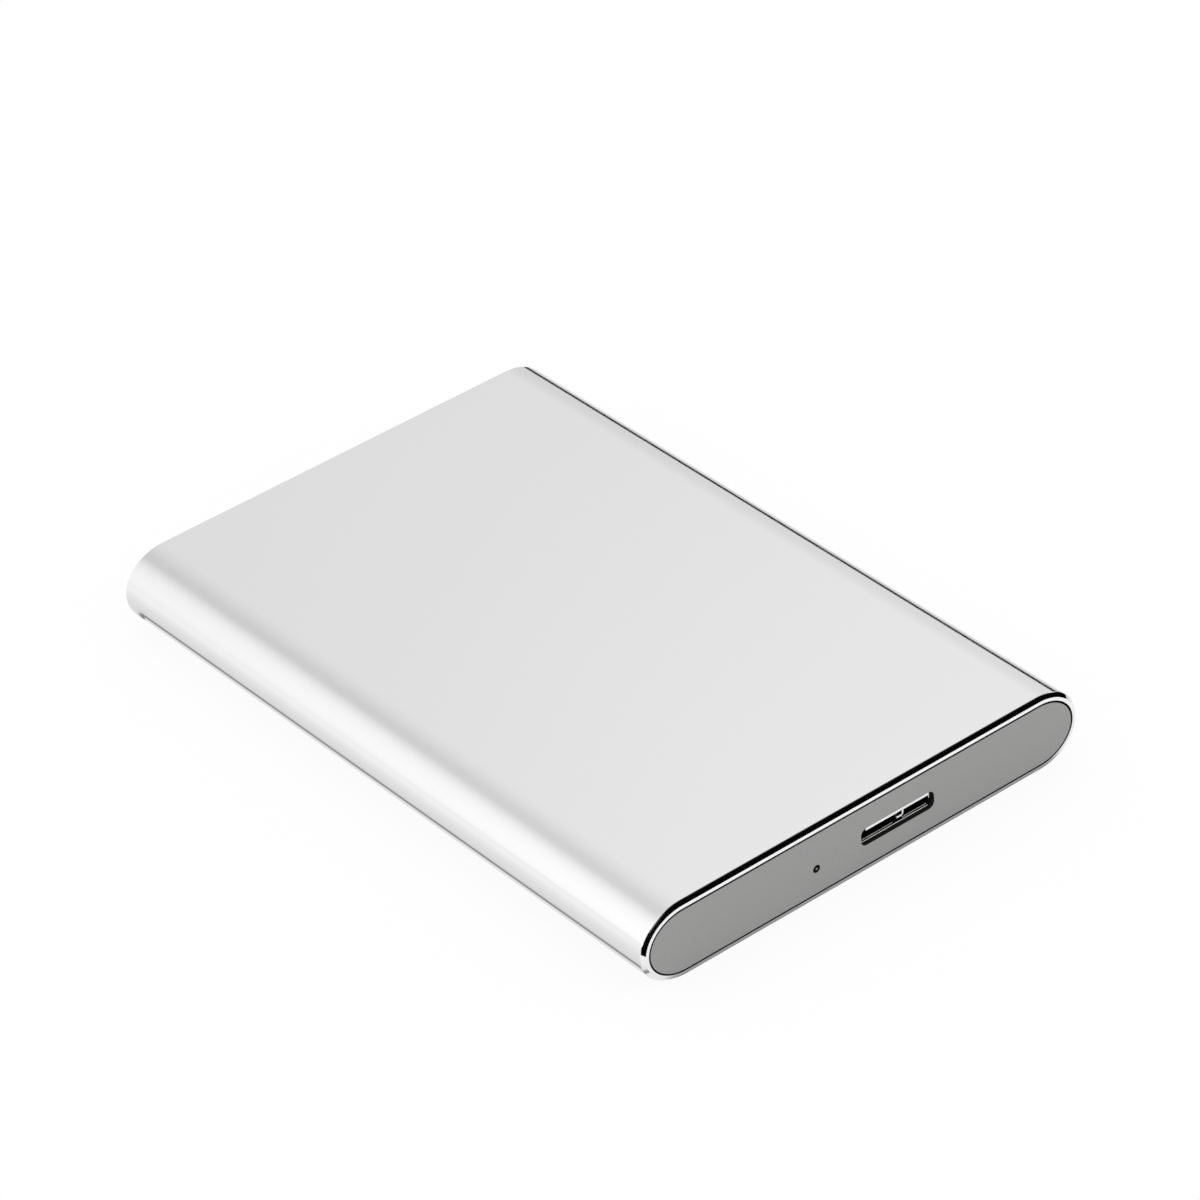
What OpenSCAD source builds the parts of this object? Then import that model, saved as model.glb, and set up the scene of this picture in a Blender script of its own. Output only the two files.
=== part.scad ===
// Portable solid state drive: an aluminium sleeve closed by two end plates,
// with a tray inside that carries the drive and its bridge board.
// X runs across, Y from the port end to the rear, Z up from the resting face.

/* [Sleeve] */
// Width over the two rounded sides
body_w = 76; // [68:0.5:90]
// Length from the front rim to the rear rim
body_l = 114; // [102:0.5:130]
// Height
body_h = 12; // [11:0.1:13.6]
// Reach of a rounded side, from the end of the flats to its widest point
side_reach = 7; // [6:0.1:8]
// Thickness of the extruded wall
wall = 1.1; // [0.9:0.05:1.2]
// Polished 45 degree chamfer round each end
rim_chamfer = 0.5; // [0.2:0.05:0.6]
// Sliding gap between the bore and what is pushed into it
slide_gap = 0.15; // [0.1:0.05:0.3]

/* [End plates] */
// Thickness of the end plates
plate_t = 1.5; // [1:0.1:1.8]
// Hairline gap round each end plate
plate_gap = 0.15; // [0.1:0.01:0.3]
// Depth of the end plates behind the rims
plate_recess = 0.05; // [0:0.05:0.2]
// Thickness of the adhesive tape behind each end plate
tape_t = 0.15; // [0.1:0.05:0.3]
// Width of the adhesive tape
tape_w = 1.6; // [1:0.1:1.8]
// Distance from the edge of the plate to the tape
tape_inset = 0.3; // [0.1:0.1:0.6]

/* [Port] */
// Centre of the port, to the right of the middle
port_x = 5.6; // [0:0.1:10]
// Centre of the port, below mid-height
port_drop = 0.25; // [0.1:0.05:0.4]
// Width over the steel shell
port_w = 12.25; // [11.5:0.05:13]
// Height over the steel shell
port_h = 2.45; // [2.3:0.01:2.6]
// Sheet thickness of the steel shell
port_wall = 0.25; // [0.2:0.01:0.3]
// Depth of the port behind its lip
port_depth = 5; // [4.6:0.1:5.2]
// Distance that the mouth of the shell lies behind its upper lip
port_setback = 0.6; // [0.2:0.05:0.8]
// Height of the folded upper lip
lip_h = 0.4; // [0.3:0.05:0.5]
// Width inside the wide part of the socket
wide_part_w = 5.75; // [5.4:0.05:6]
// Width over the folded key between the two parts
key_w = 1.45; // [1.2:0.05:1.6]
// Distance that the folded key lies behind the upper lip
key_setback = 0.3; // [0.1:0.05:0.5]
// Height left under the folded key
key_clear = 0.75; // [0.6:0.05:0.9]
// Gap between shell and plate at the ends of the slot
port_end_gap = 0.3; // [0.1:0.05:0.4]
// Gap between shell and plate above and below
port_gap = 0.15; // [0.1:0.01:0.25]
// Corner radius of the slot
slot_r = 0.95; // [0.4:0.05:1.2]
// Thickness of the contact tongues
tongue_t = 0.6; // [0.5:0.05:0.7]
// Spacing of the port contacts
port_pitch = 0.6; // [0.55:0.01:0.62]

/* [Status light] */
// Centre of the light, to the left of the middle
light_x = 8.6; // [6:0.1:12]
// Centre of the light, below mid-height
light_drop = 0.86; // [0.7:0.02:0.9]
// Diameter of the light hole
light_d = 1.05; // [0.9:0.05:1.2]
// Diameter of the light pipe
pipe_d = 0.5; // [0.4:0.05:0.8]
// Depth of the end of the light pipe behind the plate's face
pipe_setback = 0.2; // [0:0.05:0.5]

/* [Tray] */
// Thickness of the front wall of the tray
tray_wall = 1.2; // [1:0.1:1.4]
// Thickness of the tray floor under the drive
tray_floor = 1.25; // [1.1:0.05:1.4]
// Rib between the two openings in the tray floor
floor_rib = 4.6; // [3:0.1:12]
// Thickness of the rear cap
cap_t = 1.4; // [1:0.1:1.4]
// Length of the locating tabs of the rear cap
cap_tab_l = 8; // [6:0.5:9]
// Width of the locating tabs of the rear cap
cap_tab_w = 8; // [5:0.5:12]

/* [Bridge board] */
// Room for the bridge board between the tray wall and the drive
bridge_bay = 7.8; // [7.8:0.1:9]
// Thickness of the bridge board
board_t = 0.8; // [0.6:0.1:0.8]
// Distance from the end of the bridge board to the side of the drive
board_side_room = 3.925; // [3:0.025:5]
// Diameter of the board screws
board_screw_d = 1.6; // [1.4:0.1:2]
// Distance from the end of the bridge board to its screw
board_screw_inset = 2.5; // [2.1:0.1:2.8]

/* [Drive] */
// Room between the side of the drive and the widest point of the sleeve
drive_side_room = 3.075; // [3:0.025:4]
// Thickness of the drive lid
lid_t = 0.5; // [0.4:0.1:0.8]
// Thickness of the floor of the drive case
case_floor = 0.8; // [0.6:0.1:1]
// Thickness of the side walls of the drive case
case_wall = 1.2; // [1:0.1:1.5]
// Distance from the left side of the drive to its connector
plug_edge = 9.125; // [8.5:0.025:10]
// Depth of the connector bay in the drive
plug_depth = 5.2; // [4.8:0.1:6]
// Thickness of the connector tongues
plug_tongue_t = 1.2; // [1:0.05:1.25]
// Spacing of the drive contacts
plug_pitch = 1.27; // [1.2:0.01:1.3]
// Room behind the circuit board in the drive
module_rear_room = 14.8; // [4:0.1:20]
// Room between the circuit board and the side of the drive
module_side_room = 7.925; // [7.5:0.025:10]
// Diameter of the drive mounting screws
drive_screw_d = 3; // [2.5:0.1:3]
// Distance from the side of the drive to its mounting screws
drive_screw_inset = 4.065; // [3.9:0.005:4.3]
// Height of the flash packages
chip_h = 1; // [0.8:0.05:1.2]

/* [Hidden] */
$fn = 48;
FLASH_COUNT = 8;

// Small allowances shared by many pieces, and the overrun of cuts
fit_gap = 0.1;
running_gap = 0.2;
contact_t = 0.1;
over = 1;

// Section of the sleeve: two flats joined by half-elliptical sides
half_w = body_w / 2;
half_h = body_h / 2;
shoulder_x = half_w - side_reach;

// Levels along Y
front_y = -body_l / 2;
back_y = body_l / 2;
plate_front_y = front_y + plate_recess;
plate_back_y = plate_front_y + plate_t;
tray_front_y = plate_back_y + tape_t;
tray_wall_y = tray_front_y + tray_wall;
cap_back_y = back_y - plate_recess - plate_t - tape_t;
cap_front_y = cap_back_y - cap_t;
drive_back_y = cap_front_y - running_gap;
drive_front_y = tray_wall_y + bridge_bay;

// Size and levels of the drive
mid_z = half_h;
bore_top = body_h - wall;
tray_z0 = wall + slide_gap;
drive_w = body_w - 2 * drive_side_room;
drive_l = drive_back_y - drive_front_y;
drive_h = body_h - 2 * (tray_z0 + tray_floor);
drive_z0 = mid_z - drive_h / 2;
drive_z1 = mid_z + drive_h / 2;
lid_z = drive_z1 - lid_t;
case_floor_z = drive_z0 + case_floor;

// Port
port_z = mid_z - port_drop;
port_top = port_z + port_h / 2;
port_front_y = plate_front_y + plate_recess;
shell_front_y = port_front_y + port_setback;
port_back_y = port_front_y + port_depth;
port_left = port_x - port_w / 2;
port_right = port_x + port_w / 2;
port_corner_r = 0.6;
port_body_l = 1.6;
port_flange_t = 0.3;
port_flange_y = port_back_y + port_flange_t;
lip_bend = 0.3;
lip_gap = 0.03;
lip_w = port_w - 2 * port_corner_r;
lip_z1 = port_top + port_gap - lip_gap;
key_x0 = port_left + port_wall + wide_part_w;
key_x1 = key_x0 + key_w;
key_z = port_top - port_h + port_wall + key_clear;
key_fold_r = 2 * port_wall;
wide_tongue_margin = 1.1;
narrow_tongue_margin = 0.55;
narrow_part_w = port_right - port_wall - key_x1;
tongue_z0 = port_z - tongue_t * 0.75;
tongue_setback = 0.9;
tongue_front_y = shell_front_y + tongue_setback;
port_contact_w = 0.3;
port_foot_l = 0.3;

// Bridge board
board_top = port_top - port_h;
board_bottom = board_top - board_t;
board_w = drive_w - 2 * board_side_room;
board_y0 = tray_wall_y + running_gap;
board_back_gap = 0.3;
board_y1 = drive_front_y - board_back_gap;
board_nose_y = tray_front_y + running_gap;
board_screw_x = board_w / 2 - board_screw_inset;
board_screw_back = 2.65;
board_screw_y = board_y1 - board_screw_back;
board_head_h = 0.7;
board_head_rim = 0.8;
board_head_d = board_screw_d + 2 * board_head_rim;
board_hole_d = board_screw_d + 3 * fit_gap;
post_wall = 1.3;
post_d = board_screw_d + 2 * post_wall;
post_floor = 0.6;
post_hole_l = board_bottom - tray_z0 - post_floor;
part_row_back = 1.45;
part_row_y = board_y0 + part_row_back;

// Small parts of the bridge board, from the ends of the board and from the port
bridge_chip_w = 5.5;
bridge_chip_h = 0.9;
bridge_chip_inset = 15;
bridge_chip_x = bridge_chip_inset - board_w / 2;
bridge_window_w = 7;
firmware_w = 3;
firmware_l = 4;
firmware_h = 0.8;
firmware_back = 2.4;
crystal_w = 3.2;
crystal_l = 2.2;
crystal_h = 0.8;
crystal_r = 0.4;
crystal_inset = 12.5;
coil_w = 2.5;
coil_d = 2;
coil_h = 1.4;
coil_flange = 0.3;
coil_offset = 2.2;
regulator_w = 2.9;
regulator_l = 1.6;
regulator_h = 1;
regulator_offset = 5.2;
capacitor_count = 3;
capacitor_w = 0.8;
capacitor_l = 1.6;
capacitor_pitch = 2;
capacitor_inset = 4.5;
resistor_count = 4;
resistor_w = 0.5;
resistor_l = 1;
resistor_h = 0.35;
resistor_pitch = 1.4;
resistor_inset = 2.9;

// Status light
light_z = mid_z - light_drop;
led_w = 1.6;
led_l = 0.8;
led_h = 1.2;
led_setback = 0.3;
led_y = board_y0 + led_setback;

// Drive connector
data_count = 7;
power_count = 15;
row_end = 1.09;
power_edge = 4.4;
data_edge = 4.6;
row_gap = 3.2;
data_w = (data_count - 1) * plug_pitch + 2 * row_end;
power_w = (power_count - 1) * plug_pitch + 2 * row_end;
plug_w = power_edge + power_w + row_gap + data_w + data_edge;
plug_x0 = -drive_w / 2 + plug_edge;
plug_x1 = plug_x0 + plug_w;
power_x = plug_x0 + power_edge + power_w / 2;
data_x = plug_x1 - data_edge - data_w / 2;
plug_tongue_z0 = mid_z - plug_tongue_t / 2;
plug_setback = 0.3;
plug_front_y = drive_front_y + plug_setback;
plug_back_y = drive_front_y + plug_depth;
plug_rear_t = 0.7;
plug_contact_w = 0.7;
plug_contact_lap = 1.2;
nose_inset = 2;
nose_half_h = 1.45;
nose_gap = 0.15;
receptacle_l = 4.2;
receptacle_y0 = drive_front_y - receptacle_l;
receptacle_tip_gap = 0.3;
receptacle_tip_y = plug_back_y - plug_rear_t - receptacle_tip_gap;
slot_z0 = plug_tongue_z0 - 2 * contact_t;
slot_z1 = plug_tongue_z0 + plug_tongue_t + fit_gap;

// Circuit board of the drive
module_t = 0.8;
module_z0 = plug_tongue_z0;
module_z1 = module_z0 + module_t;
module_y0 = plug_back_y;
module_l = drive_l - plug_depth - module_rear_room;
module_y1 = module_y0 + module_l;
module_w = drive_w - 2 * module_side_room;
module_screw_inset = 2.8;
module_screw_x = module_w / 2 - module_screw_inset;
module_screw_d = 1.6;
module_head_d = 3.2;
module_head_h = 0.7;
module_thread_l = 1.6;
module_post_d = 3.8;

// Packages on the circuit board of the drive
flash_w = 12;
flash_l = 18;
flash_rows = [0.46, 0.775];
tantalum_w = 2.8;
tantalum_l = 3.5;
tantalum_h = 1.6;
tantalum_pitch = 4.2;
tantalum_x = -module_w * 0.36;
tantalum_back = 3.4;
tantalum_y = module_y0 + tantalum_back;
controller_w = 14;
controller_x = -module_w * 0.08;
controller_gap = 0.65;
controller_y = tantalum_y + tantalum_l / 2 + controller_gap + controller_w / 2;
memory_w = 9;
memory_l = 11;
memory_x = module_w * 0.24;

// Case of the drive and its screws
case_corner_r = 1;
drive_screw_x = drive_w / 2 - drive_screw_inset;
drive_screw_front = 14;
drive_screw_rear = 9.4;
drive_screw_y0 = drive_front_y + drive_screw_front;
drive_screw_y1 = drive_back_y - drive_screw_rear;
drive_boss_d = 6.4;
drive_thread_l = 3.2;
drive_head_d = 4.4;
drive_head_h = 0.5;
tray_web_t = 0.5;
lid_screw_d = 1.6;
lid_screw_inset = 2.8;
lid_screw_back = 3.4;
lid_head_d = 2.8;
lid_head_h = 0.4;
lid_thread_l = 3;
lid_post_d = 4;

// Tray openings, rear cap and foam
window_side = 13.925;
window_half_w = drive_w / 2 - window_side;
window_margin = 10;
window_y0 = drive_screw_y0 + window_margin;
window_l = (drive_screw_y1 - window_margin - window_y0 - floor_rib) / 2;
cap_tab_side = 14.925;
cap_tab_x = drive_w / 2 - cap_tab_side;
foam_side = 9.925;
foam_half_w = drive_w / 2 - foam_side;
foam_margin = 15;

// Solid between two opposite corners
module span(a, b) {
    translate(a)
        cube(b - a);
}

// Extrudes an X-Z drawing from y0 to y1
module along_y(y0, y1) {
    translate([0, y1, 0])
        rotate([90, 0, 0])
            linear_extrude(y1 - y0)
                children();
}

// Outer section of the sleeve, drawn inwards by an inset
module outline(inset) {
    h = half_h - inset;
    translate([0, mid_z]) {
        square([2 * shoulder_x, 2 * h], center = true);
        for (s = [-1, 1])
            translate([s * shoulder_x, 0])
                rotate(90 - 90 * s)
                    scale([(side_reach - inset) / h, 1])
                        circle(h);
    }
}

module rounded_rect(w, h, r) {
    square([w - 2 * r, h], center = true);
    square([w, h - 2 * r], center = true);
    for (sx = [-1, 1], sy = [-1, 1])
        translate([sx * (w / 2 - r), sy * (h / 2 - r)])
            circle(r);
}

// Chamfered end that starts at the plane y and narrows towards the front
module end_chamfer(y, c) {
    translate([0, y, mid_z]) {
        rotate([90, 0, 90])
            linear_extrude(2 * shoulder_x, center = true)
                polygon([[0, -half_h], [0, half_h], [-c, half_h - c], [-c, c - half_h]]);
        for (s = [-1, 1])
            translate([s * shoulder_x, 0, 0])
                rotate([90, 0, 0])
                    scale([side_reach / half_h, 1, 1])
                        cylinder(h = c, r1 = half_h, r2 = half_h - c);
    }
}

// Extruded sleeve with a polished chamfer round both ends
module sleeve() {
    color("gainsboro")
        difference() {
            union() {
                along_y(front_y + rim_chamfer, back_y - rim_chamfer)
                    outline(0);
                end_chamfer(front_y + rim_chamfer, rim_chamfer);
                rotate([0, 0, 180])
                    end_chamfer(front_y + rim_chamfer, rim_chamfer);
            }
            along_y(front_y - over, back_y + over)
                outline(wall);
        }
}

module front_plate() {
    color("gray")
        difference() {
            along_y(plate_front_y, plate_back_y)
                outline(wall + plate_gap);
            along_y(plate_front_y - over, plate_back_y + over) {
                translate([port_x, port_z])
                    rounded_rect(port_w + 2 * port_end_gap, port_h + 2 * port_gap, slot_r);
                translate([-light_x, light_z])
                    circle(d = light_d);
            }
        }
}

module rear_plate() {
    color("gray")
        along_y(cap_back_y + tape_t, back_y - plate_recess)
            outline(wall + plate_gap);
}

// Frame of adhesive tape
module tape(y0) {
    edge = wall + plate_gap + tape_inset;
    color("ivory")
        along_y(y0, y0 + tape_t)
            difference() {
                outline(edge);
                outline(edge + tape_w);
            }
}

// Moulded tray: front wall, floor and the posts of the bridge board
module tray() {
    color("dimgray")
        difference() {
            union() {
                along_y(tray_front_y, tray_wall_y)
                    outline(tray_z0);
                along_y(tray_wall_y, cap_front_y)
                    intersection() {
                        outline(tray_z0);
                        translate([-half_w, 0])
                            square([body_w, drive_z0]);
                    }
                board_screw_places()
                    translate([0, 0, drive_z0])
                        cylinder(h = board_bottom - drive_z0, d = post_d);
            }
            // window for the port and the nose of its board
            span([port_left - port_end_gap, tray_front_y - over, board_bottom - fit_gap],
                 [port_right + port_end_gap, board_y0, port_top + port_gap]);
            along_y(tray_front_y - over, board_y0)
                translate([-light_x, light_z])
                    circle(d = pipe_d + fit_gap);
            board_screw_places()
                translate([0, 0, board_bottom - post_hole_l])
                    cylinder(h = post_hole_l + over, d = board_screw_d);
            drive_screw_places() {
                translate([0, 0, -over])
                    cylinder(h = drive_z0 + 2 * over, d = drive_screw_d + 2 * running_gap);
                translate([0, 0, -over])
                    cylinder(h = drive_z0 - tray_web_t + over, d = drive_head_d + 2 * running_gap);
            }
            // the floor is open under the bridge chip and the drive
            translate([bridge_chip_x, 0, 0])
                span([-bridge_window_w / 2, tray_wall_y, 0],
                     [bridge_window_w / 2, board_y1, drive_z0 + over]);
            for (i = [0, 1])
                translate([0, window_y0 + i * (window_l + floor_rib), 0])
                    span([-window_half_w, 0, 0], [window_half_w, window_l, drive_z0 + over]);
            // notches for the tabs of the rear cap
            for (s = [-1, 1])
                translate([s * cap_tab_x, cap_front_y, 0])
                    span([-cap_tab_w / 2, -cap_tab_l, 0], [cap_tab_w / 2, over, drive_z0 + over]);
        }
}

// Places of the two screws of the bridge board
module board_screw_places() {
    for (s = [-1, 1])
        translate([s * board_screw_x, board_screw_y, 0])
            children();
}

// Places of the four screws that hold the drive on the tray
module drive_screw_places() {
    for (sx = [-1, 1], y = [drive_screw_y0, drive_screw_y1])
        translate([sx * drive_screw_x, y, 0])
            children();
}

// Moulded cap behind the drive, with two tabs that lie in the tray floor
module rear_cap() {
    tab = cap_tab_w / 2 - slide_gap;
    color("dimgray") {
        along_y(cap_front_y, cap_back_y)
            outline(tray_z0);
        for (s = [-1, 1])
            translate([s * cap_tab_x, cap_front_y, 0])
                span([-tab, slide_gap - cap_tab_l, tray_z0], [tab, cap_t / 2, drive_z0]);
    }
}

// Foam between the drive and the roof of the sleeve
module foam_pad() {
    color("darkslategray")
        span([-foam_half_w, drive_front_y + foam_margin, drive_z1],
             [foam_half_w, drive_back_y - foam_margin, bore_top]);
}

// Section inside or outside the sheet of the port's shell
module port_section(inset) {
    translate([port_x, port_z])
        rounded_rect(port_w - 2 * inset, port_h - 2 * inset, port_corner_r - inset);
}

// Section of the folded key, drawn inwards by an inset
module key_section(inset) {
    key_top = port_top - port_wall / 2 - inset / 2;
    translate([key_x0 + inset, key_z + key_fold_r])
        square([key_w - 2 * inset, key_top - key_z - key_fold_r]);
    translate([key_x0 + key_fold_r, key_z + inset])
        square([key_w - 2 * key_fold_r, key_fold_r]);
    for (x = [key_x0 + key_fold_r, key_x1 - key_fold_r])
        translate([x, key_z + key_fold_r])
            circle(key_fold_r - inset);
}

// Stamped steel shell of the port: a tube with a lip and a folded key along its top
module usb_shell() {
    lip_z0 = lip_z1 - lip_h;
    bend_y = shell_front_y + lip_bend;
    color("silver")
        difference() {
            union() {
                along_y(shell_front_y, port_back_y)
                    difference() {
                        port_section(0);
                        port_section(port_wall);
                    }
                translate([port_x, 0, 0])
                    rotate([90, 0, 90])
                        linear_extrude(lip_w, center = true)
                            polygon([[port_front_y, lip_z0], [port_front_y, lip_z1],
                                     [shell_front_y, lip_z1], [bend_y, port_top],
                                     [bend_y, port_top - port_wall], [shell_front_y, lip_z0]]);
                along_y(port_front_y + key_setback, port_back_y - port_body_l)
                    key_section(0);
            }
            along_y(port_front_y - over, port_back_y - port_body_l - port_wall)
                key_section(port_wall);
        }
}

// Places along X of the port contacts: five in each part
module port_contact_places() {
    for (x = [key_x0 - wide_part_w / 2, key_x1 + narrow_part_w / 2], i = [-2:2])
        translate([x + i * port_pitch, 0, 0])
            children();
}

// Moulded insulator with a tongue in each part of the port
module usb_insulator() {
    tongue_back_y = port_flange_y - fit_gap;
    tongue_z1 = tongue_z0 + tongue_t;
    color("black")
        difference() {
            union() {
                along_y(port_back_y - port_body_l, tongue_back_y)
                    port_section(port_wall);
                along_y(port_back_y, port_flange_y)
                    port_section(0);
                span([key_x0 - wide_part_w + wide_tongue_margin, tongue_front_y, tongue_z0],
                     [key_x0 - wide_tongue_margin, tongue_back_y, tongue_z1]);
                span([key_x1 + narrow_tongue_margin, tongue_front_y, tongue_z0],
                     [key_x1 + narrow_part_w - narrow_tongue_margin, tongue_back_y, tongue_z1]);
            }
            port_contact_places()
                span([-port_contact_w / 2, port_back_y - port_body_l - over, tongue_z0 - contact_t],
                     [port_contact_w / 2, port_flange_y + over, tongue_z0]);
        }
}

// Contacts under the tongues, bent down to the board behind the port
module usb_contacts() {
    w = port_contact_w / 2;
    tail_y = port_flange_y + contact_t;
    color("gold")
        port_contact_places() {
            span([-w, tongue_front_y + running_gap, tongue_z0 - contact_t], [w, tail_y, tongue_z0]);
            span([-w, port_flange_y, board_top], [w, tail_y, tongue_z0]);
            span([-w, port_flange_y, board_top], [w, tail_y + port_foot_l, board_top + contact_t]);
        }
}

// Bridge board, with a nose under the port
module bridge_board() {
    color("darkgreen")
        difference() {
            union() {
                span([-board_w / 2, board_y0, board_bottom], [board_w / 2, board_y1, board_top]);
                span([port_left, board_nose_y, board_bottom], [port_right, board_y0 + over, board_top]);
            }
            board_screw_places()
                translate([0, 0, board_bottom - over])
                    cylinder(h = board_t + 2 * over, d = board_hole_d);
        }
}

module board_screws() {
    color("silver")
        board_screw_places() {
            translate([0, 0, board_top])
                cylinder(h = board_head_h, d = board_head_d);
            translate([0, 0, board_bottom - post_hole_l + running_gap])
                cylinder(h = board_t + post_hole_l, d = board_screw_d);
        }
}

// Places along X of the drive contacts, in a short data row and a long power row
module drive_contact_places() {
    for (row = [[data_x, data_count], [power_x, power_count]])
        for (i = [0:row[1] - 1])
            translate([row[0] + (i - (row[1] - 1) / 2) * plug_pitch, 0, 0])
                children();
}

// Moulded connector on the bridge board that takes the tongues of the drive
module sata_receptacle() {
    nose_z1 = mid_z + nose_half_h;
    color("black")
        difference() {
            union() {
                span([plug_x0, receptacle_y0, board_top], [plug_x1, drive_front_y - fit_gap, nose_z1]);
                span([plug_x0 + nose_inset, receptacle_y0 + over, mid_z - nose_half_h],
                     [plug_x1 - nose_inset, receptacle_tip_y, nose_z1]);
            }
            for (row = [[data_x, data_w], [power_x, power_w]])
                span([row[0] - row[1] / 2 - nose_gap, receptacle_y0 - over, slot_z0],
                     [row[0] + row[1] / 2 + nose_gap, receptacle_tip_y + over, slot_z1]);
        }
}

// Contacts that lie in the slots of the connector and are bent down to the board
module sata_contacts() {
    w = plug_contact_w / 2;
    foot_l = 4 * contact_t;
    color("gold")
        drive_contact_places() {
            span([-w, receptacle_y0 - contact_t, slot_z0],
                 [w, receptacle_tip_y - foot_l, slot_z0 + contact_t]);
            span([-w, receptacle_y0 - contact_t, board_top], [w, receptacle_y0, slot_z0 + contact_t]);
            span([-w, receptacle_y0 - foot_l, board_top], [w, receptacle_y0, board_top + contact_t]);
        }
}

// Chip body with a chamfered first corner, standing on the origin
module chip(w, l, h) {
    cut = min(w, l) / 8;
    linear_extrude(h)
        polygon([[-w / 2, -l / 2], [w / 2, -l / 2], [w / 2, l / 2],
                 [-w / 2 + cut, l / 2], [-w / 2, l / 2 - cut]]);
}

// Bridge chip on the underside of its board
module bridge_chip() {
    y = board_y0 + bridge_chip_w / 2 + fit_gap;
    color("black")
        translate([bridge_chip_x, y, board_bottom - bridge_chip_h])
            chip(bridge_chip_w, bridge_chip_w, bridge_chip_h);
}

// Firmware chip between the connector and a screw of the board
module firmware_chip() {
    color("black")
        translate([(plug_x1 + board_screw_x - board_head_d / 2) / 2, board_y1 - firmware_back, board_top])
            chip(firmware_w, firmware_l, firmware_h);
}

module crystal() {
    color("silver")
        translate([crystal_inset - board_w / 2, part_row_y, board_top])
            linear_extrude(crystal_h)
                rounded_rect(crystal_w, crystal_l, crystal_r);
}

// Coil of the power supply: a drum core with square flanges
module power_coil() {
    color("darkslategray")
        translate([port_right + coil_offset, part_row_y, board_top]) {
            for (z = [0, coil_h - coil_flange])
                translate([0, 0, z])
                    linear_extrude(coil_flange)
                        rounded_rect(coil_w, coil_w, coil_flange);
            cylinder(h = coil_h, d = coil_d);
        }
}

module regulator() {
    color("black")
        translate([port_right + regulator_offset, part_row_y, board_top])
            chip(regulator_w, regulator_l, regulator_h);
}

// Row of small parts along the front edge of the bridge board
module part_row(x0, pitch, count, w, l, h) {
    for (i = [0:count - 1])
        translate([x0 + i * pitch, part_row_y, board_top])
            linear_extrude(h)
                square([w, l], center = true);
}

module bridge_capacitors() {
    color("tan")
        part_row(capacitor_inset - board_w / 2, capacitor_pitch, capacitor_count,
                 capacitor_w, capacitor_l, capacitor_w);
}

module bridge_resistors() {
    color("black")
        part_row(board_w / 2 - resistor_inset, -resistor_pitch, resistor_count,
                 resistor_w, resistor_l, resistor_h);
}

// Side-firing light behind the light pipe
module status_led() {
    color("white")
        translate([-light_x, led_y, board_top])
            span([-led_w / 2, 0, 0], [led_w / 2, led_l, led_h]);
}

// Clear rod from the light to the hole in the front plate
module light_pipe() {
    color("white")
        along_y(plate_front_y + pipe_setback, led_y)
            translate([-light_x, light_z])
                circle(d = pipe_d);
}

// Cast base of the drive: floor, walls, screw bosses and the opening of its connector
module drive_base() {
    color("silver")
        difference() {
            union() {
                difference() {
                    drive_box(drive_z0, lid_z);
                    span([case_wall - drive_w / 2, drive_front_y + case_wall, case_floor_z],
                         [drive_w / 2 - case_wall, drive_back_y - case_wall, lid_z + over]);
                }
                translate([0, 0, drive_z0]) {
                    drive_screw_places()
                        cylinder(h = case_floor + drive_thread_l, d = drive_boss_d);
                    lid_screw_places()
                        cylinder(h = lid_z - drive_z0, d = lid_post_d);
                    module_screw_places()
                        cylinder(h = module_z0 - drive_z0, d = module_post_d);
                }
            }
            span([plug_x0 - fit_gap, drive_front_y - over, case_floor_z],
                 [plug_x1 + fit_gap, drive_front_y + case_wall + fit_gap, lid_z + over]);
            drive_screw_places()
                translate([0, 0, drive_z0 - over])
                    cylinder(h = drive_thread_l + over, d = drive_screw_d);
            lid_screw_places()
                translate([0, 0, lid_z - lid_thread_l])
                    cylinder(h = lid_thread_l + over, d = lid_screw_d);
            module_screw_places()
                translate([0, 0, module_z0 - module_thread_l])
                    cylinder(h = module_thread_l + over, d = module_screw_d);
        }
}

// Block of the drive's plan with rounded upright corners
module drive_box(z0, z1) {
    translate([0, (drive_front_y + drive_back_y) / 2, z0])
        linear_extrude(z1 - z0)
            rounded_rect(drive_w, drive_l, case_corner_r);
}

// Places of the four screws in the corners of the lid
module lid_screw_places() {
    for (sx = [-1, 1], y = [drive_front_y + lid_screw_back, drive_back_y - lid_screw_back])
        translate([sx * (drive_w / 2 - lid_screw_inset), y, 0])
            children();
}

// Places of the four screws in the corners of the circuit board
module module_screw_places() {
    for (sx = [-1, 1], y = [module_y0 + module_screw_inset, module_y1 - module_screw_inset])
        translate([sx * module_screw_x, y, 0])
            children();
}

module drive_lid() {
    color("lightgray")
        difference() {
            drive_box(lid_z, drive_z1);
            lid_screw_places()
                translate([0, 0, lid_z - over])
                    cylinder(h = lid_t + 2 * over, d = lid_screw_d + running_gap);
        }
}

module lid_screws() {
    color("silver")
        lid_screw_places() {
            translate([0, 0, drive_z1])
                cylinder(h = lid_head_h, d = lid_head_d);
            translate([0, 0, lid_z - lid_thread_l + running_gap])
                cylinder(h = lid_t + lid_thread_l, d = lid_screw_d);
        }
}

// Screws from under the tray into the drive
module drive_screws() {
    seat_z = drive_z0 - tray_web_t;
    color("silver")
        drive_screw_places() {
            translate([0, 0, seat_z - drive_head_h])
                cylinder(h = drive_head_h, d = drive_head_d);
            translate([0, 0, seat_z - drive_head_h / 2])
                cylinder(h = drive_head_h / 2 + tray_web_t + drive_thread_l - running_gap,
                         d = drive_screw_d);
        }
}

module drive_board() {
    color("darkgreen")
        difference() {
            span([-module_w / 2, module_y0, module_z0], [module_w / 2, module_y1, module_z1]);
            module_screw_places()
                translate([0, 0, module_z0 - over])
                    cylinder(h = module_t + 2 * over, d = module_screw_d + running_gap);
        }
}

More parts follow.
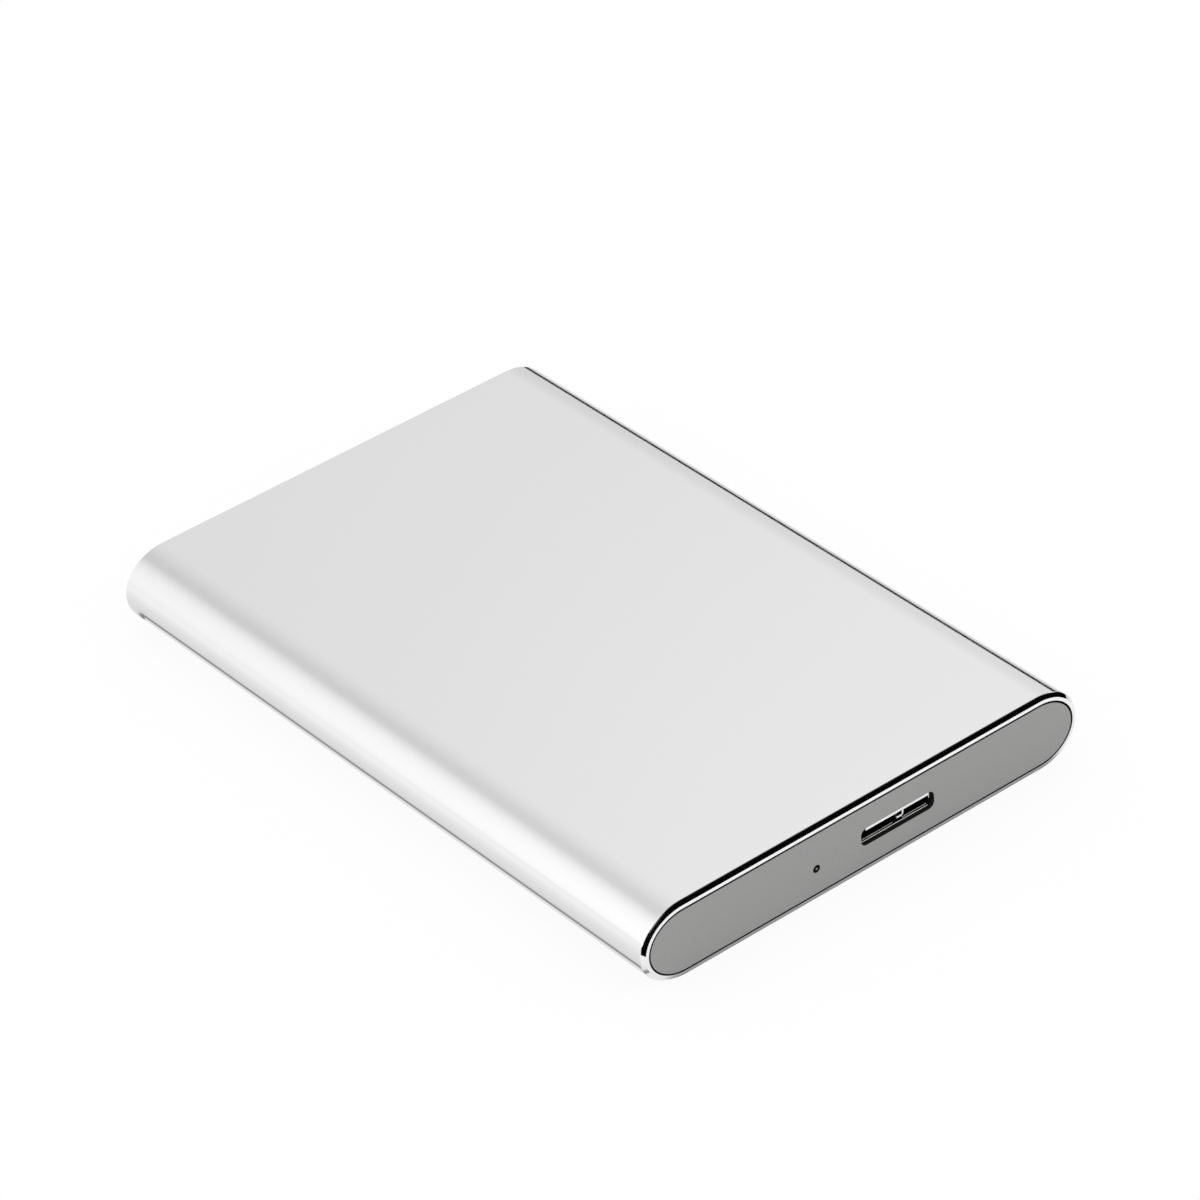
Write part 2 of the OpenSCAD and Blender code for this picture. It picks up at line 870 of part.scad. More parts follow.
module module_screws() {
    color("silver")
        module_screw_places() {
            translate([0, 0, module_z1])
                cylinder(h = module_head_h, d = module_head_d);
            translate([0, 0, module_z0 - module_thread_l + running_gap])
                cylinder(h = module_t + module_thread_l, d = module_screw_d);
        }
}

// Connector of the drive: a bay with two tongues that carry the contacts
module sata_plug() {
    bay_half_h = nose_half_h + nose_gap;
    bay_inset = nose_inset - nose_gap;
    w = plug_contact_w / 2;
    color("black") {
        difference() {
            span([plug_x0, plug_front_y, case_floor_z], [plug_x1, plug_back_y, lid_z - fit_gap]);
            span([plug_x0 + bay_inset, plug_front_y - over, mid_z - bay_half_h],
                 [plug_x1 - bay_inset, plug_back_y - plug_rear_t, mid_z + bay_half_h]);
            drive_contact_places()
                span([-w, plug_front_y, plug_tongue_z0 - contact_t],
                     [w, plug_back_y + over, plug_tongue_z0]);
        }
        for (row = [[data_x, data_w], [power_x, power_w]])
            translate([row[0], 0, plug_tongue_z0])
                span([-row[1] / 2, plug_front_y + plug_rear_t, 0],
                     [row[1] / 2, plug_back_y - plug_rear_t / 2, plug_tongue_t]);
    }
}

// Contacts under the tongues, which run on under the edge of the circuit board
module plug_contacts() {
    w = plug_contact_w / 2;
    color("gold")
        drive_contact_places()
            span([-w, plug_front_y + over, plug_tongue_z0 - contact_t],
                 [w, module_y0 + plug_contact_lap, plug_tongue_z0]);
}

module controller_chip() {
    color("black")
        translate([controller_x, controller_y, module_z1])
            chip(controller_w, controller_w, chip_h);
}

module memory_chip() {
    color("black")
        translate([memory_x, controller_y, module_z1])
            chip(memory_w, memory_l, chip_h);
}

// One flash package: half of them stand on the board of the drive and half hang under it
module flash_chip(i) {
    side = (i - 1) % 2 - 0.5;
    row = floor((i - 1) / 2) % 2;
    z = i <= FLASH_COUNT / 2 ? module_z1 : module_z0 - chip_h;
    color("black")
        translate([side * module_w / 2, module_y0 + flash_rows[row] * module_l, z])
            chip(flash_w, flash_l, chip_h);
}

// Tantalum capacitors behind the connector
module drive_capacitors() {
    color("goldenrod")
        for (i = [0:3])
            translate([tantalum_x + i * tantalum_pitch, tantalum_y, module_z1])
                linear_extrude(tantalum_h)
                    square([tantalum_w, tantalum_l], center = true);
}

// Soft pad that carries heat from the lower flash packages to the base
module thermal_pad() {
    x = module_w / 4 + flash_w / 2;
    color("lightblue")
        span([-x, module_y0 + flash_rows[0] * module_l - flash_l / 2, case_floor_z],
             [x, module_y0 + flash_rows[1] * module_l + flash_l / 2, module_z0 - chip_h]);
}

sleeve();
front_plate();
rear_plate();
tape(plate_back_y);  // front_tape
tape(cap_back_y);  // rear_tape
tray();
rear_cap();
foam_pad();
usb_shell();
usb_insulator();
usb_contacts();
bridge_board();
board_screws();
sata_receptacle();
sata_contacts();
bridge_chip();
firmware_chip();
crystal();
power_coil();
regulator();
bridge_capacitors();
bridge_resistors();
status_led();
light_pipe();
drive_base();
drive_lid();
lid_screws();
drive_screws();
drive_board();
module_screws();
sata_plug();
plug_contacts();
controller_chip();
memory_chip();
drive_capacitors();
thermal_pad();
for (i = [1:FLASH_COUNT])
    flash_chip(i);
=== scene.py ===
import math
import bmesh
import bpy
from mathutils import Euler, Matrix


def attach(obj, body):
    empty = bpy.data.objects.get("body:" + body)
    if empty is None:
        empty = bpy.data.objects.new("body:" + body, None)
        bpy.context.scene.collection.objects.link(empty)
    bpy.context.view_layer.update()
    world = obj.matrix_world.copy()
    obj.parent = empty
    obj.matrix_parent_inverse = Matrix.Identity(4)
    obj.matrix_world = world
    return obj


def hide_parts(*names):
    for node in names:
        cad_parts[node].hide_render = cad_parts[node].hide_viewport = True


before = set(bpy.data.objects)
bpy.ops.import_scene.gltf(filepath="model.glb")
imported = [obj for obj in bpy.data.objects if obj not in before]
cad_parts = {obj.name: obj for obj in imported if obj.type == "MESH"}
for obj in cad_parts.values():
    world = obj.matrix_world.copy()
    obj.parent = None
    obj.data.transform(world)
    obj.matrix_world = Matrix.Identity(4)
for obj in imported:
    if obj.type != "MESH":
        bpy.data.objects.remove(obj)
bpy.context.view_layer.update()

# Sleeve: one aluminium extrusion, cut to length, blasted with fine beads and anodised.
# Both ends are then chamfered and faced with a diamond tool, which leaves them bright.
body_w, body_l, body_h = 0.076, 0.114, 0.012
side_reach = 0.007
sleeve_wall = 0.001
# Chamfer round each end: its reach in from the outline, its reach along the sleeve, and the
# rounding between it and the blasted skin.
rim_chamfer, facing_l, facing_r = 0.0005, 0.0006, 0.0001
# Places nearer than this count as one.
hair = 1e-6


def stadium_bar(w, l, h, reach, y_mid, segments):
    """Bar along Y whose long sides are half ellipses that reach out from the flats."""
    bm = bmesh.new()
    shoulder = w / 2 - reach
    size = (2 * shoulder + h, l, h)
    bmesh.ops.create_cube(bm, size=1, matrix=Matrix.LocRotScale((0, y_mid, body_h / 2), None, size))
    edges = [e for e in bm.edges if abs(e.verts[0].co.y - e.verts[1].co.y) > l / 2]
    bmesh.ops.bevel(bm, geom=edges, offset=h / 2, offset_type="OFFSET", segments=segments, profile=0.5,
                    affect="EDGES", clamp_overlap=False, material=-1)
    bmesh.ops.remove_doubles(bm, verts=bm.verts, dist=hair)
    for side in (-1, 1):
        verts = [v for v in bm.verts if v.co.x * side > shoulder + hair]
        to_shoulder = Matrix.Translation((-side * shoulder, 0, 0))
        bmesh.ops.scale(bm, vec=(reach / (h / 2), 1, 1), space=to_shoulder, verts=verts)
    bmesh.ops.recalc_face_normals(bm, faces=bm.faces)
    return bm


def soften(bm, edges, radius, segments, material=-1):
    """Rounds edges and leaves the rest of the piece as it is."""
    bmesh.ops.bevel(bm, geom=edges, offset=radius, offset_type="OFFSET", segments=segments, profile=0.5,
                    affect="EDGES", clamp_overlap=False, material=material)


def finish_piece(bm, name, materials, node, sharp=25):
    """Turns a bmesh into a piece that stands for a node of the frame."""
    for face in bm.faces:
        face.smooth = True
    for edge in bm.edges:
        if len(edge.link_faces) == 2 and edge.calc_face_angle(0) > math.radians(sharp):
            edge.smooth = False
    mesh = bpy.data.meshes.new(name)
    bm.to_mesh(mesh)
    bm.free()
    for material in materials:
        mesh.materials.append(material)
    piece = bpy.data.objects.new(name, mesh)
    bpy.context.scene.collection.objects.link(piece)
    weighted = piece.modifiers.new("weighted_normals", "WEIGHTED_NORMAL")
    weighted.keep_sharp = True
    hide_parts(node)
    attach(piece, "root")
    return piece


def surface(name, color, metallic, roughness, **more):
    """New material; returns it with its node tree and its shader."""
    material = bpy.data.materials.new(name)
    material.use_nodes = True
    tree = material.node_tree
    shader = tree.nodes["Principled BSDF"]
    shader.inputs["Base Color"].default_value = (*color, 1)
    shader.inputs["Metallic"].default_value = metallic
    shader.inputs["Roughness"].default_value = roughness
    for socket, value in more.items():
        shader.inputs[socket.replace("_", " ")].default_value = value
    return material, tree, shader


def node(tree, kind, inputs=None, **props):
    """New shader node; an input is given as a value or as the socket that feeds it."""
    n = tree.nodes.new(kind)
    for key, value in props.items():
        setattr(n, key, value)
    for key, value in (inputs or {}).items():
        if isinstance(value, bpy.types.NodeSocket):
            tree.links.new(value, n.inputs[key])
        else:
            n.inputs[key].default_value = value
    return n


def pitted(tree, shader, grain, depth):
    """Small pits about one grain wide; returns the place they are read at and their noise."""
    place = node(tree, "ShaderNodeTexCoord").outputs["Object"]
    pits = node(tree, "ShaderNodeTexNoise", {"Vector": place, "Scale": 1 / grain, "Detail": 2,
                                             "Roughness": 0.6}).outputs["Fac"]
    bump = node(tree, "ShaderNodeBump", {"Height": pits, "Strength": depth, "Distance": 0.00003})
    tree.links.new(bump.outputs["Normal"], shader.inputs["Normal"])
    return place, pits


def uneven(tree, shader, noise, roughness, spread):
    """Roughness that follows a noise round its mean."""
    rough = node(tree, "ShaderNodeMapRange", {"Value": noise, "From Min": 0.3, "From Max": 0.7,
                                              "To Min": roughness - spread, "To Max": roughness + spread})
    tree.links.new(rough.outputs["Result"], shader.inputs["Roughness"])


def blasted_finish(name, color, roughness, grain, depth):
    """Fine pits of the bead blasting, with a slight change of gloss over the surface."""
    material, tree, shader = surface(name, color, 1, roughness)
    place, pits = pitted(tree, shader, grain, depth)
    patches = node(tree, "ShaderNodeTexNoise", {"Vector": place, "Scale": 30, "Detail": 3})
    uneven(tree, shader, patches.outputs["Fac"], roughness, 0.02)
    return material


sleeve_blasted = blasted_finish("blasted_aluminium", (0.885, 0.875, 0.875), 0.1, 0.00016, 0.06)
sleeve_cut, tree, shader = surface("diamond_cut_aluminium", (1, 1, 1), 1, 0.05)
turning_pitch = 0.00025
place = node(tree, "ShaderNodeTexCoord").outputs["Object"]
turning = node(tree, "ShaderNodeTexNoise", {"Vector": place, "Scale": 1 / turning_pitch, "Detail": 1})
marks = node(tree, "ShaderNodeBump", {"Height": turning.outputs["Fac"], "Strength": 0.05,
                                      "Distance": 0.00001})
tree.links.new(marks.outputs["Normal"], shader.inputs["Normal"])


def faces_end(face):
    """True for a face that looks along the sleeve."""
    return abs(face.normal.y) > 0.9


bm = stadium_bar(body_w, body_l, body_h, side_reach, y_mid=0, segments=40)
ends = [f for f in bm.faces if faces_end(f)]
bmesh.ops.bevel(bm, geom=list({e for f in ends for e in f.edges}), offset=rim_chamfer, offset_type="OFFSET",
                segments=1, profile=0.5, affect="EDGES", clamp_overlap=False, material=1)
ends = [f for f in bm.faces if faces_end(f)]
for end in ends:
    end.material_index = 1
bmesh.ops.inset_region(bm, faces=ends, thickness=sleeve_wall - rim_chamfer, use_even_offset=True)
# The face with many corners inside each rim is opened, and the bore joins the two openings.
ends = [f for f in bm.faces if faces_end(f) and len(f.verts) > 8]
bmesh.ops.delete(bm, geom=ends, context="FACES_ONLY")
bmesh.ops.bridge_loops(bm, edges=[e for e in bm.edges if e.is_boundary])
for face in bm.faces:
    if faces_end(face):
        face.material_index = 1
bmesh.ops.recalc_face_normals(bm, faces=bm.faces)
# The chamfer is cut even in both directions first, and then its outer edge moves along the sleeve.
cut_y = body_l / 2 - facing_l
for vert in bm.verts:
    if abs(abs(vert.co.y) - (body_l / 2 - rim_chamfer)) < hair:
        vert.co.y = math.copysign(cut_y, vert.co.y)
shoulders = [e for e in bm.edges if all(abs(abs(v.co.y) - cut_y) < hair for v in e.verts)]
soften(bm, shoulders, facing_r, segments=3, material=0)
finish_piece(bm, "aluminium_sleeve", [sleeve_blasted, sleeve_cut], "sleeve")

# End plates: moulded in grey plastic with a fine matt grain and a narrow rounding round the face.
# The front one has the slot of the port and the hole of the status light.
# They sit a little low in the sleeve, and their inset leaves the dark line round them; that line is partly
# real shade in the gap and partly painted shade on the plates' near-black side faces.
plate_t = 0.0015
plate_recess = 0.00001
plate_inset, plate_drop = 0.00128, 0.00005
plate_edge_r = 0.00004
slot_x, slot_z, slot_w, slot_h, slot_r = 0.0056, 0.00575, 0.01285, 0.00275, 0.00095
light_x, light_z, light_d = -0.0086, 0.00514, 0.0012


def grained(name, color, metallic, roughness, grain, depth, **more):
    """Fine even grain of a moulded, cast, plated or printed surface."""
    material, tree, shader = surface(name, color, metallic, roughness, **more)
    place, pits = pitted(tree, shader, grain, depth)
    uneven(tree, shader, pits, roughness, 0.03)
    return material


def ellipse_arc(x, z, rx, rz, start, count):
    """Points of a quarter ellipse in the X-Z plane, counted from the start angle in degrees."""
    angles = [math.radians(start + 90 * i / count) for i in range(count + 1)]
    return [(x + rx * math.cos(a), z + rz * math.sin(a)) for a in angles]


def rounded_loop(x, z, w, h, rx, rz, count):
    """Points of a rectangle with elliptic corners, count steps to a corner."""
    loop = []
    for i, (sx, sz) in enumerate(((1, 1), (-1, 1), (-1, -1), (1, -1))):
        loop += ellipse_arc(x + sx * (w / 2 - rx), z + sz * (h / 2 - rz), rx, rz, 90 * i, count)
    return loop


def end_plate(name, side, openings, node_name):
    """Plate at one end, side -1 in front; its openings are loops of X-Z points."""
    bm = bmesh.new()
    face_y = side * (body_l / 2 - plate_recess)
    outer = rounded_loop(0, body_h / 2 - plate_drop, body_w - 2 * plate_inset, body_h - 2 * plate_inset,
                         side_reach - plate_inset, body_h / 2 - plate_inset, 24)
    for loop in [outer] + openings:
        points = [p for i, p in enumerate(loop) if math.dist(p, loop[i - 1]) > hair]
        verts = [bm.verts.new((px, face_y, pz)) for px, pz in points]
        for i, v in enumerate(verts):
            bm.edges.new((verts[i - 1], v))
    bmesh.ops.triangle_fill(bm, use_beauty=True, edges=bm.edges, normal=(0, side, 0))
    grown = bmesh.ops.extrude_face_region(bm, geom=bm.faces)["geom"]
    back = [v for v in grown if isinstance(v, bmesh.types.BMVert)]
    bmesh.ops.translate(bm, vec=(0, -side * plate_t, 0), verts=back)
    bmesh.ops.recalc_face_normals(bm, faces=bm.faces)
    # Face takes the grey; side faces, in the gap and the openings, take the painted shade.
    for face in bm.faces:
        face.material_index = 0 if faces_end(face) else 1
    in_face = [e for e in bm.edges if all(abs(v.co.y - face_y) < hair for v in e.verts)]
    rim = [e for e in in_face if e.calc_face_angle(0) > 1]
    soften(bm, rim, plate_edge_r, segments=2, material=0)
    return finish_piece(bm, name, [plate_grey, plate_side_shade_paint], node_name)


plate_grey = grained("plate_grey", (0.305, 0.302, 0.3), 0, 0.55, 0.0002, 0.2)
# Painted shade: near black with little reflection, on the side faces of the plates and of the light's rod.
plate_side_shade_paint = grained("plate_side_painted_shade", (0.012, 0.012, 0.012), 0, 0.7, 0.0002, 0.2, Specular_IOR_Level=0.2)
slot_loop = rounded_loop(slot_x, slot_z, slot_w, slot_h, slot_r, slot_r, 8)
light_loop = rounded_loop(light_x, light_z, light_d, light_d, light_d / 2, light_d / 2, 8)
end_plate("moulded_front_plate", -1, [slot_loop, light_loop], "front_plate")
end_plate("moulded_rear_plate", 1, [], "rear_plate")

# Status light: a smoked rod that ends flush with the plate, dark while the light is off.
# Behind the plate it ends where the frame's own rod ends.
pipe_d = 0.00036
pipe_front_y = -0.05697
pipe_end_y = max(v.co.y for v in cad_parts["light_pipe"].data.vertices)
pipe_mid = (light_x, (pipe_end_y + pipe_front_y) / 2, light_z)
bm = bmesh.new()
bmesh.ops.create_cone(bm, cap_ends=True, segments=32, radius1=pipe_d / 2, radius2=pipe_d / 2,
                      depth=pipe_end_y - pipe_front_y,
                      matrix=Matrix.LocRotScale(pipe_mid, Euler((math.pi / 2, 0, 0)), None))
bmesh.ops.recalc_face_normals(bm, faces=bm.faces)
# The rod's end takes the smoked colour; its sides take the plates' painted shade.
for face in bm.faces:
    face.material_index = 0 if faces_end(face) else 1
smoked = grained("smoked_rod", (0.16, 0.16, 0.165), 0, 0.25, 0.0005, 0.05)
finish_piece(bm, "smoked_light_rod", [smoked, plate_side_shade_paint], "light_pipe")

# Port: black nickel shell, black tongues, gold contacts. Highlights on the shell are painted into its colour:
# a painted white highlight on the lip, and painted pale highlights, not metal, told apart by their place on
# the shell:
# the front of the key, which shows as a hook, the mouth's lower and right edges, and a thin line low inside
# the mouth.
# Places and sizes of the painted highlights on the shell.
lip_y, key_y, mouth_y = -0.0569, -0.0566, -0.0563
mouth_x, key_x = (-0.0006, 0.0116), (0.00548, 0.00693)
lower_z, right_z = 0.004525, (0.0056, 0.0072)
margin, skin = 0.0001, 0.00002
lip_depth, lower_edge_h, right_edge_w = 0.00015, 0.00012, 0.0004
hook_start, hook_stem_w, hook_foot_h = 0.0002, 0.00027, 0.00126
line_y, line_z = (0.00012, 0.00026), (0.0002, 0.0003)


def within(tree, value, low, high):
    """1 where a value lies between two limits, else 0."""
    limits = {0: value, 1: (low + high) / 2, 2: (high - low) / 2}
    return node(tree, "ShaderNodeMath", limits, operation="COMPARE").outputs[0]


def joined(tree, operation, *values):
    """One mask out of several, as their common part or all of them together."""
    total = values[0]
    for value in values[1:]:
        total = node(tree, "ShaderNodeMath", {0: total, 1: value}, operation=operation).outputs[0]
    return total


def dress(material, *names):
    """Gives nodes of the frame their material; their meshes stay as they are."""
    for name in names:
        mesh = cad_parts[name].data
        mesh.materials.clear()
        mesh.materials.append(material)


shell_steel = grained("black_nickel_painted_highlights", (0.05, 0.05, 0.052), 1, 0.3, 0.0004, 0.05)
tree = shell_steel.node_tree
shader = tree.nodes["Principled BSDF"]
place = node(tree, "ShaderNodeSeparateXYZ", {0: node(tree, "ShaderNodeTexCoord").outputs["Object"]}).outputs
# Painted highlight: the lip's colour is white.
lip_painted_highlight = within(tree, place["Y"], lip_y - margin, lip_y + lip_depth)
key_front = within(tree, place["Y"], key_y - skin, key_y + skin)
stem = within(tree, place["X"], key_x[1] - hook_stem_w, key_x[1] + margin)
foot = within(tree, place["Z"], lower_z, lower_z + hook_foot_h)
hook_span = within(tree, place["X"], key_x[0] + hook_start, key_x[1] + margin)
hook = joined(tree, "MULTIPLY", key_front, joined(tree, "MAXIMUM", stem, foot), hook_span)
mouth_front = within(tree, place["Y"], mouth_y - skin, mouth_y + skin)
low = within(tree, place["Z"], lower_z - margin, lower_z + lower_edge_h)
lower_edge = joined(tree, "MULTIPLY", mouth_front, low)
far_right = within(tree, place["X"], mouth_x[1], mouth_x[1] + right_edge_w)
end_edge = joined(tree, "MULTIPLY", mouth_front, far_right, within(tree, place["Z"], *right_z))
left_of_key = within(tree, place["X"], mouth_x[0], key_x[0] - margin)
right_of_key = within(tree, place["X"], key_x[1] + margin, mouth_x[1])
inner_line = joined(tree, "MULTIPLY", joined(tree, "MAXIMUM", left_of_key, right_of_key),
                    within(tree, place["Y"], mouth_y + line_y[0], mouth_y + line_y[1]),
                    within(tree, place["Z"], lower_z + line_z[0], lower_z + line_z[1]))
# Painted highlights: the hook, the mouth's lower and right edges and the inner line are painted pale grey.
painted_highlight_mask = joined(tree, "MAXIMUM", hook, lower_edge, end_edge, inner_line)
paint = node(tree, "ShaderNodeMix", {0: lip_painted_highlight}, data_type="RGBA")
paint.inputs[6].default_value = shader.inputs["Base Color"].default_value
paint.inputs[7].default_value = (1, 1, 1, 1)
paint = node(tree, "ShaderNodeMix", {0: painted_highlight_mask, 6: paint.outputs[2]}, data_type="RGBA")
paint.inputs[7].default_value = (0.9, 0.9, 0.88, 1)
tree.links.new(paint.outputs[2], shader.inputs["Base Color"])
# Where highlights are painted, the shell is not metal, so the painted pale grey shows as it is.
plated = node(tree, "ShaderNodeMath", {0: 1, 1: painted_highlight_mask}, operation="SUBTRACT").outputs[0]
tree.links.new(plated, shader.inputs["Metallic"])
dress(shell_steel, "usb_shell")
dress(grained("insulator_black", (0.012, 0.012, 0.012), 0, 0.45, 0.0002, 0.1), "usb_insulator")
dress(grained("crystal_can", (0.72, 0.71, 0.70), 1, 0.2, 0.0004, 0.08), "crystal")
dress(grained("connector_black", (0.015, 0.015, 0.015), 0, 0.45, 0.0002, 0.1), "sata_receptacle", "sata_plug")
dress(grained("gold_plating", (0.83, 0.60, 0.24), 1, 0.22, 0.0002, 0.08), "usb_contacts", "sata_contacts",
      "plug_contacts")

# Inside: black mouldings of the tray and its cap, the two adhesive rings behind the plates,
# and the grey foam between the drive and the roof of the sleeve.
dress(grained("black_moulding", (0.02, 0.02, 0.02), 0, 0.5, 0.0003, 0.2), "tray", "rear_cap")
dress(grained("tape_black", (0.025, 0.025, 0.025), 0, 0.8, 0.0004, 0.4), "front_tape", "rear_tape")
dress(grained("foam_grey", (0.06, 0.06, 0.065), 0, 0.9, 0.0008, 1.0), "foam_pad")

# Circuit boards and what is soldered to them: green solder mask, black chip resin,
# a ferrite coil, ceramic and tantalum capacitors, and the pale body of the light.
dress(grained("solder_mask", (0.015, 0.11, 0.045), 0, 0.3, 0.0006, 0.1), "bridge_board", "drive_board")
dress(grained("chip_resin", (0.018, 0.018, 0.02), 0, 0.55, 0.0001, 0.2), "bridge_chip", "firmware_chip",
      "regulator", "bridge_resistors", "controller_chip", "memory_chip",
      *(f"flash_chip_{i}" for i in range(1, 9)))
dress(grained("ferrite", (0.05, 0.05, 0.055), 0, 0.5, 0.0003, 0.3), "power_coil")
dress(grained("ceramic", (0.42, 0.30, 0.17), 0, 0.5, 0.0002, 0.1), "bridge_capacitors")
dress(grained("tantalum_body", (0.72, 0.45, 0.08), 0, 0.45, 0.0003, 0.1), "drive_capacitors")
dress(grained("light_resin", (0.85, 0.85, 0.80), 0, 0.25, 0.0003, 0.05), "status_led")

# Drive case of cast and stamped metal, zinc-plated screws, and the blue silicone pad
# between the flash packages and the base.
dress(grained("cast_case", (0.60, 0.60, 0.61), 1, 0.42, 0.0004, 0.3), "drive_base")
dress(grained("stamped_lid", (0.68, 0.68, 0.69), 1, 0.34, 0.0003, 0.15), "drive_lid")
dress(grained("zinc_steel", (0.56, 0.56, 0.57), 1, 0.3, 0.0003, 0.1), "board_screws", "lid_screws",
      "drive_screws", "module_screws")
dress(grained("silicone_blue", (0.30, 0.42, 0.52), 0, 0.7, 0.0005, 0.3), "thermal_pad")

# Studio floor: white to the camera, with the drive's soft shadow on it. Reflections see a glow with painted
# shade instead:
# a painted shadow close round the drive, painted darkening to the far right, and painted black ahead of the
# left corner.
floor_paint = bpy.data.materials.new("floor_paint")
floor_paint.use_nodes = True
tree = floor_paint.node_tree
tree.nodes.clear()
path = node(tree, "ShaderNodeLightPath")
glow_share = 0.9
seen = node(tree, "ShaderNodeMath", {0: path.outputs["Is Camera Ray"], 1: glow_share}, operation="MULTIPLY")
place = node(tree, "ShaderNodeSeparateXYZ", {0: node(tree, "ShaderNodeTexCoord").outputs["Object"]}).outputs


def beyond(tree, coordinate, half):
    """Distance out from the drive's footprint along one axis, negative under it."""
    out = node(tree, "ShaderNodeMath", {0: coordinate}, operation="ABSOLUTE").outputs[0]
    return node(tree, "ShaderNodeMath", {0: out, 1: half}, operation="SUBTRACT").outputs[0]


def band(tree, value, low, high, stops):
    """Light level along a value, given as pairs of value and level between low and high."""
    way = node(tree, "ShaderNodeMapRange", {"Value": value, "From Min": low, "From Max": high})
    ramp = node(tree, "ShaderNodeValToRGB", {"Fac": way.outputs["Result"]})
    points = ramp.color_ramp.elements
    while len(points) < len(stops):
        points.new(0.5)
    for point, (at, level) in zip(points, stops):
        point.position = (at - low) / (high - low)
        point.color = (level, level, level, 1)
    return ramp.outputs["Color"]


def times(tree, one, other):
    """One light level times another."""
    return node(tree, "ShaderNodeVectorMath", {0: one, 1: other}, operation="MULTIPLY").outputs[0]


out_x, out_y = beyond(tree, place["X"], body_w / 2), beyond(tree, place["Y"], body_l / 2)
away = node(tree, "ShaderNodeMath", {0: out_x, 1: out_y}, operation="MAXIMUM").outputs[0]
# Painted contact shadow, seen only in reflections: dark in a ring round the drive's footprint, lighter under
# it, rising to full level further out.
painted_contact_shadow = band(tree, away, -0.001, 0.024, [
    (-0.0002, 0.8), (0.0001, 0.26), (0.0006, 0.26), (0.00085, 0.32), (0.0011, 0.38), (0.0015, 0.65),
    (0.0019, 0.77), (0.0033, 0.8), (0.0051, 0.825), (0.0078, 0.86), (0.0121, 0.912), (0.0205, 0.966),
    (0.024, 1)])
# Painted shade seen only in reflections: darker to the far right, and black ahead of the drive's left front
# corner.
right = band(tree, place["X"], 0.04, 0.09, [
    (0.045, 1), (0.0506, 0.96), (0.0547, 0.87), (0.0608, 0.76), (0.0713, 0.67), (0.085, 0.6)])
left = band(tree, place["X"], -0.06, -0.04, [(-0.047, 0), (-0.045, 1)])
ahead = band(tree, place["Y"], -0.07, -0.05, [(-0.0634, 0), (-0.0628, 1)])
corner = node(tree, "ShaderNodeVectorMath", {0: left, 1: ahead}, operation="MAXIMUM").outputs[0]
tone = times(tree, times(tree, painted_contact_shadow, right), corner)
# Reflections see the floor as a glow carrying this painted shade, not as lit paint.
painted_floor_reflection = node(tree, "ShaderNodeEmission", {"Color": tone, "Strength": 1.0})
glow = node(tree, "ShaderNodeEmission", {"Color": (1, 1, 1, 1), "Strength": 1.0})
paint = node(tree, "ShaderNodeBsdfDiffuse", {"Color": (1, 1, 1, 1)})
plain = node(tree, "ShaderNodeMixShader", {0: seen.outputs[0], 1: paint.outputs[0], 2: glow.outputs[0]})
mix = node(tree, "ShaderNodeMixShader", {0: path.outputs["Is Glossy Ray"], 1: plain.outputs[0],
                                         2: painted_floor_reflection.outputs[0]})
node(tree, "ShaderNodeOutputMaterial", {"Surface": mix.outputs[0]})


def stage_piece(bm, name, material):
    """Turns a bmesh into a piece of the studio, which isn't part of the drive."""
    mesh = bpy.data.meshes.new(name)
    bm.to_mesh(mesh)
    bm.free()
    mesh.materials.append(material)
    piece = bpy.data.objects.new(name, mesh)
    bpy.context.scene.collection.objects.link(piece)
    return piece


bm = bmesh.new()
floor_half = 4
bmesh.ops.create_grid(bm, x_segments=1, y_segments=1, size=floor_half)
stage_piece(bm, "studio_floor", floor_paint)

# Black card that only reflections show: a low strip that stands well away on the right, higher in
# front than behind, with a flap on the floor toward the drive.
card_paint, tree, shader = surface("card_black", (0, 0, 0), 0, 1, Specular_IOR_Level=0)
card_x, flap_x, card_foot_z = 0.097, 0.091, 0.0002
card_front_y, card_back_y = -0.0715, 0.30
card_high, card_low = 0.03, 0.0115
card_plan = [(card_front_y, card_high), (-0.045, card_high), (-0.022, card_low), (card_back_y, card_low)]
bm = bmesh.new()
feet = [bm.verts.new((card_x, y, card_foot_z)) for y, height in card_plan]
tops = [bm.verts.new((card_x, y, height)) for y, height in card_plan]
for i in range(len(card_plan) - 1):
    bm.faces.new((feet[i], feet[i + 1], tops[i + 1], tops[i]))
flap = ((flap_x, card_front_y), (flap_x, card_back_y), (card_x, card_back_y), (card_x, card_front_y))
bm.faces.new([bm.verts.new((x, y, card_foot_z)) for x, y in flap])
card = stage_piece(bm, "dark_card", card_paint)
card.visible_camera = card.visible_diffuse = card.visible_shadow = card.visible_transmission = False

# Surround: even and white for all but reflections. These see softer light along the sides, a dark
# patch of sky above the front, and a dark hoop of sky that the polished chamfer mirrors: the part
# of the sky that lies 99 to 109 degrees from the hoop's axis.
patch_way = (0.49, -0.30, 0.82)
hoop_axis = (-0.26, 0.893, 0.368)
world = bpy.data.worlds.new("studio")
bpy.context.scene.world = world
world.use_nodes = True
tree = world.node_tree
tree.nodes.clear()
path = node(tree, "ShaderNodeLightPath")
sky = node(tree, "ShaderNodeTexCoord").outputs["Generated"]
way = node(tree, "ShaderNodeSeparateXYZ", {0: sky}).outputs


